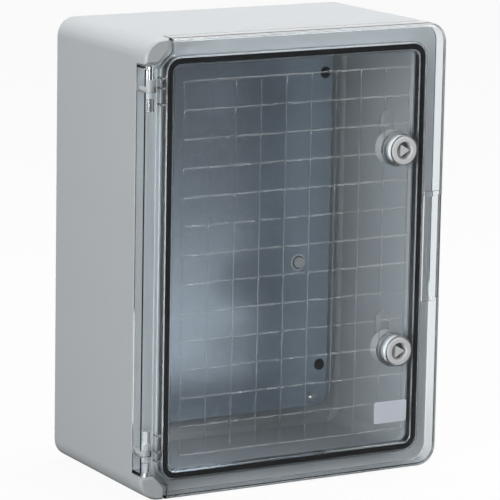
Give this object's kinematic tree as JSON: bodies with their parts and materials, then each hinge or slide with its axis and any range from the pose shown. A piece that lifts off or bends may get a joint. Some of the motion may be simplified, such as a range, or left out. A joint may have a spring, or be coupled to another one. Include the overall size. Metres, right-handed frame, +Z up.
{
  "type": "distribution cabinet",
  "caption": "Wall-mounted plastic distribution cabinet: grey box, clear hinged door with a rubber seal and quarter-turn key locks, and a steel mounting plate inside.",
  "frame": {"origin": "middle of the four wall holes, on the back face", "axes": "+X right seen from the front, +Z up, the door faces -Y and +Y points into the wall"},
  "size_m": [0.3, 0.178, 0.4],
  "materials": {
    "grey_abs": "satin light grey moulding",
    "clear_plastic": "clear polished moulding",
    "black_rubber": "matt black",
    "plate_steel": "galvanised sheet",
    "zinc_steel": "bright zinc plate",
    "brass": "turned",
    "black_plastic": "matt black",
    "lock_plastic": "smooth light grey",
    "lock_metal": "plated die casting",
    "label_film": "plain film"
  },
  "bodies": {
    "base": {"base_box": "grey_abs", "threaded_inserts": "brass", "mounting_plate": "plate_steel", "plate_screws": "zinc_steel", "plate_washers": "zinc_steel", "plate_plugs": "black_plastic", "earth_screw": "zinc_steel", "earth_washer": "zinc_steel", "earth_nut": "zinc_steel", "upper_hinge_pin": "zinc_steel", "lower_hinge_pin": "zinc_steel"},
    "door": {"door": "clear_plastic", "door_gasket": "black_rubber", "label_plate": "label_film", "upper_lock_housing": "lock_plastic", "upper_lock_seal": "black_rubber", "upper_lock_nut": "lock_plastic", "lower_lock_housing": "lock_plastic", "lower_lock_seal": "black_rubber", "lower_lock_nut": "lock_plastic"},
    "upper_lock": {"upper_lock_core": "lock_metal", "upper_lock_cam": "zinc_steel", "upper_cam_washer": "zinc_steel", "upper_cam_screw": "zinc_steel"},
    "lower_lock": {"lower_lock_core": "lock_metal", "lower_lock_cam": "zinc_steel", "lower_cam_washer": "zinc_steel", "lower_cam_screw": "zinc_steel"}
  },
  "joints": [
    {"name": "door_hinge", "type": "hinge", "parent": "base", "child": "door", "pos_m": [-0.14375, -0.16375, 0], "axis": [0, 0, -1], "range_deg": [0, 175]},
    {"name": "upper_lock_turn", "type": "hinge", "parent": "door", "child": "upper_lock", "pos_m": [0.103, -0.17, 0.09], "axis": [0, 1, 0], "range_deg": [0, 90]},
    {"name": "lower_lock_turn", "type": "hinge", "parent": "door", "child": "lower_lock", "pos_m": [0.103, -0.17, -0.09], "axis": [0, 1, 0], "range_deg": [0, 90]}
  ]
}
